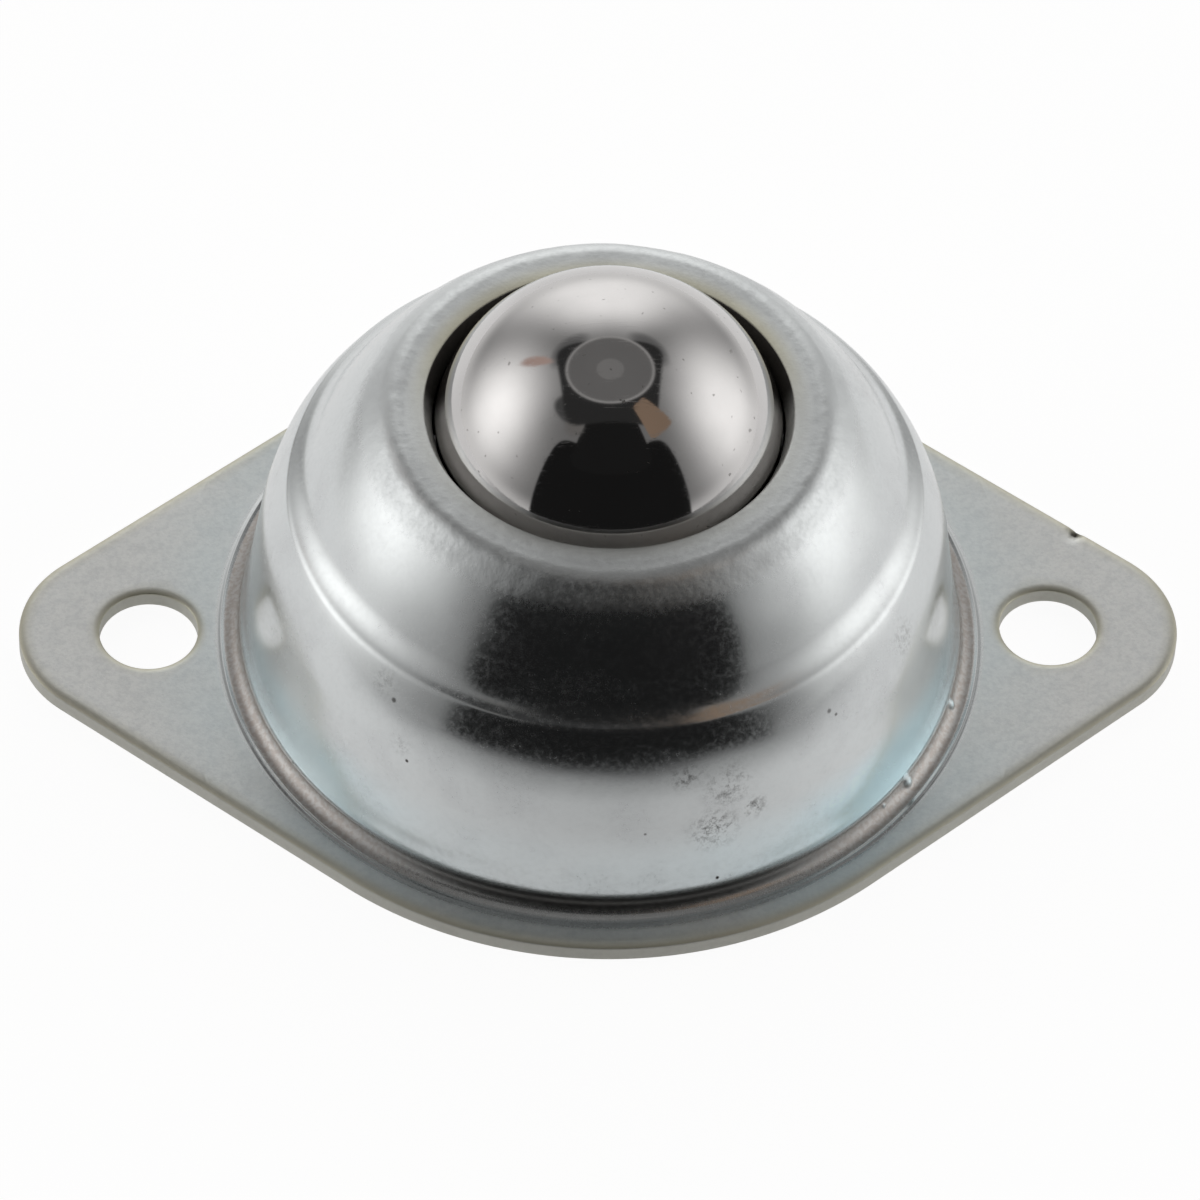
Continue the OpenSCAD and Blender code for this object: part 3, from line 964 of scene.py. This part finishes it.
# %% The room
world = bpy.data.worlds.new("studio_tent")
bpy.context.scene.world = world
world.use_nodes = True
make = Recipe(world.node_tree)
sky = make.add("ShaderNodeTexCoord").outputs["Generated"]

below = make.ramp(make.dot(sky, (0, 0, 1)), -0.30, 0.06)
brightness = make.ramp(below, 0, 1, 0.62, 0.17)
for azimuth, elevation, wide, high, power, strength in (
    (-99, 18, 30, 29, 2.2, 1.20), (99, 16, 33, 32, 2.5, 1.08), (180, 19, 28, 31, 3.0, 0.98)
):
    window = bell_window(make, sky, azimuth, elevation, wide, high, power)
    share = make.ramp(below, 0, 1, strength * 0.45, strength)
    brightness = make.math("MULTIPLY_ADD", window, share, brightness)
tent = make.add("ShaderNodeCombineColor")
for socket, tint in zip(tent.inputs, (1.0, 0.995, 0.985)):
    make.feed(socket, make.math("MULTIPLY", brightness, tint))
room = tent.outputs[0]
for side in (-1, 1):
    room = make.mix(rounded_frame(make, sky, side * 138, 55, 21, 6, 0.8, 2.0), room, grey(0.13))
room = make.mix(rounded_frame(make, sky, -121, 42, 4, 10, 0.6, 2.0), room, (0.45, 0.33, 0.29, 1))
room = make.mix(rounded_frame(make, sky, 0, 4, 48, 40, 0.12), room, grey(0.010))
room = make.mix(rounded_frame(make, sky, -58, 60, 20, 9, 0.5, 3.0), room, grey(0.065))
room = make.mix(rounded_frame(make, sky, 0, 46, 32, 18, 0.12, 6.0), room, grey(0.012))
room = make.mix(round_patch(make, sky, -41, 52, 4.5, 3.5), room, grey(0.16, 0.08))


hood_middle = 0.122  # the y of the direction that points at the hood's middle


def from_hood(make, sky, wide, deep, forward=0.0):
    """How far a direction lies from the hood's middle: (x / wide)^2 + ((y - middle) / deep)^2."""
    across = make.math("DIVIDE", make.dot(sky, (1, 0, 0)), wide)
    along = make.math("DIVIDE", make.math("SUBTRACT", make.dot(sky, (0, 1, 0)), hood_middle - forward), deep)
    return make.math("POWER", across, 2.0), make.math("POWER", along, 2.0)


overhead = make.ramp(make.dot(sky, (0, 0, 1)), 0.5, 0.6)
across, along = from_hood(make, sky, 0.50, 0.475, 0.12)
square = make.math("ADD", make.math("POWER", across, 3.0), make.math("POWER", along, 3.0))
room = make.mix(make.math("MULTIPLY", make.ramp(square, 0.8, 1.2, 1.0, 0.0), overhead), room, grey(0.028))
room = make.mix(rounded_frame(make, sky, 50, 56, 13, 12, 0.12), room, (0.24, 0.170, 0.122, 1))
hood = make.math("ADD", *from_hood(make, sky, 0.44, 0.40))
for edge, tone in ((1.0, grey(0.36, 0.03)), (0.90, grey(0.15, 0.03)), (0.10, grey(0.20, 0.03))):
    inside = make.math("MULTIPLY", make.ramp(hood, edge * 0.94, edge * 1.06, 1.0, 0.0), overhead)
    room = make.mix(inside, room, tone)

seen = make.add("ShaderNodeLightPath").outputs["Is Camera Ray"]
light = make.add("ShaderNodeBackground")
make.feed(light.inputs["Color"], make.mix(seen, room, (1, 1, 1, 1)))
make.feed(make.add("ShaderNodeOutputWorld").inputs["Surface"], light.outputs[0])
print("nodes in the room:", len(world.node_tree.nodes))

# %% [markdown]
# ### The table
# The unit stands on a pale round table top. Seen directly it is white like the backdrop and keeps
# only the faint shadow round the foot of the flange. In the metal it shows as a pale glowing surface,
# bright beside and behind the unit, with painted shade that dims it towards the dark opening in front.
# Looked at from below it is clear, so that the cover and the underside of the flange can be seen.

# %% The table
table_r, table_drop = 0.13, 0.05 * MM  # the drop keeps the table clear of the flange's underside
table_rings, table_sides = 5, 96
rings = np.linspace(0, table_r, table_rings + 1)[1:, None, None]
table_points = rings * ray(np.arange(table_sides) * 360 / table_sides)[None]
table_grid = lifted(table_points, -table_drop)
table_quads = grid_faces(table_rings, table_sides, True, 0)[:, ::-1]  # turned to face upwards
corners_of_table = table_quads.tolist() + [list(range(table_sides))]
table_mesh = bpy.data.meshes.new("table_top")
table_mesh.from_pydata(table_grid.reshape(-1, 3), [], corners_of_table)
table = bpy.data.objects.new("table_top", table_mesh)
bpy.context.scene.collection.objects.link(table)

table_white, make = finish_of("table_white")
path = make.add("ShaderNodeLightPath")
to_front = make.dot(make.place(), (0, -1, 0))
# Painted shade: the table's colour and its glow in the metal are dimmed towards the dark opening in front.
lit = make.ramp(to_front, 0.012, 0.050, 1.0, 0.52)
lit = make.math("MULTIPLY", lit, make.ramp(to_front, 0.035, 0.115, 1.0, 0.12))
cloth_with_painted_shade = make.add("ShaderNodeCombineColor")
for socket in cloth_with_painted_shade.inputs:
    make.feed(socket, make.math("MULTIPLY", lit, 0.78))
matt = make.add("ShaderNodeBsdfDiffuse")
matt_colour = make.mix(path.outputs["Is Camera Ray"], cloth_with_painted_shade.outputs[0], (0.16, 0.16, 0.16, 1))
make.feed(matt.inputs["Color"], matt_colour)
shine = make.add("ShaderNodeEmission")
glow = make.math("MULTIPLY", path.outputs["Is Glossy Ray"], make.math("MULTIPLY", lit, 0.50))
make.feed(shine.inputs["Strength"], make.ramp(path.outputs["Is Camera Ray"], 0, 1, glow, 0.93))
both = make.add("ShaderNodeAddShader")
make.feed(both.inputs[0], matt.outputs[0])
make.feed(both.inputs[1], shine.outputs[0])
from_below = make.math("MULTIPLY", path.outputs["Is Camera Ray"],
                       make.add("ShaderNodeNewGeometry").outputs["Backfacing"])
one_sided = make.add("ShaderNodeMixShader")
make.feed(one_sided.inputs[0], from_below)
make.feed(one_sided.inputs[1], both.outputs[0])
make.feed(one_sided.inputs[2], make.add("ShaderNodeBsdfTransparent").outputs[0])
make.feed(make.add("ShaderNodeOutputMaterial").inputs["Surface"], one_sided.outputs[0])
dress(table, table_white)

# %% [markdown]
# ## The camera
# A long lens from the front and well above, turned a little to one side and rolled slightly, so
# that the unit leans a little in the frame.

# %% The camera
view_azimuth, view_elevation, view_roll = -3.679, 49.192, 2.565
aim = Vector((0.039, 1.364, 2.377)) * MM
view_distance, lens = 540.5 * MM, 253.97

flat_part = math.cos(math.radians(view_elevation))
back = Vector((
    math.sin(math.radians(view_azimuth)) * flat_part,
    -math.cos(math.radians(view_azimuth)) * flat_part,
    math.sin(math.radians(view_elevation)),
))
level = Vector((0, 0, 1)).cross(back).normalized()
rolled = Matrix.Rotation(math.radians(view_roll), 3, back) @ level
upward = back.cross(rolled)
turning = Matrix((rolled, upward, back)).transposed().to_4x4()
camera_data = bpy.data.cameras.new("studio_camera")
camera_data.lens, camera_data.sensor_width = lens, 36
camera_data.clip_start, camera_data.clip_end = 0.01, 10
camera = bpy.data.objects.new("studio_camera", camera_data)
camera.matrix_world = Matrix.Translation(aim + back * view_distance) @ turning
bpy.context.scene.collection.objects.link(camera)
bpy.context.scene.camera = camera
bpy.context.scene.view_settings.view_transform = "Standard"
print("camera at", [round(c / MM, 1) for c in camera.matrix_world.translation])
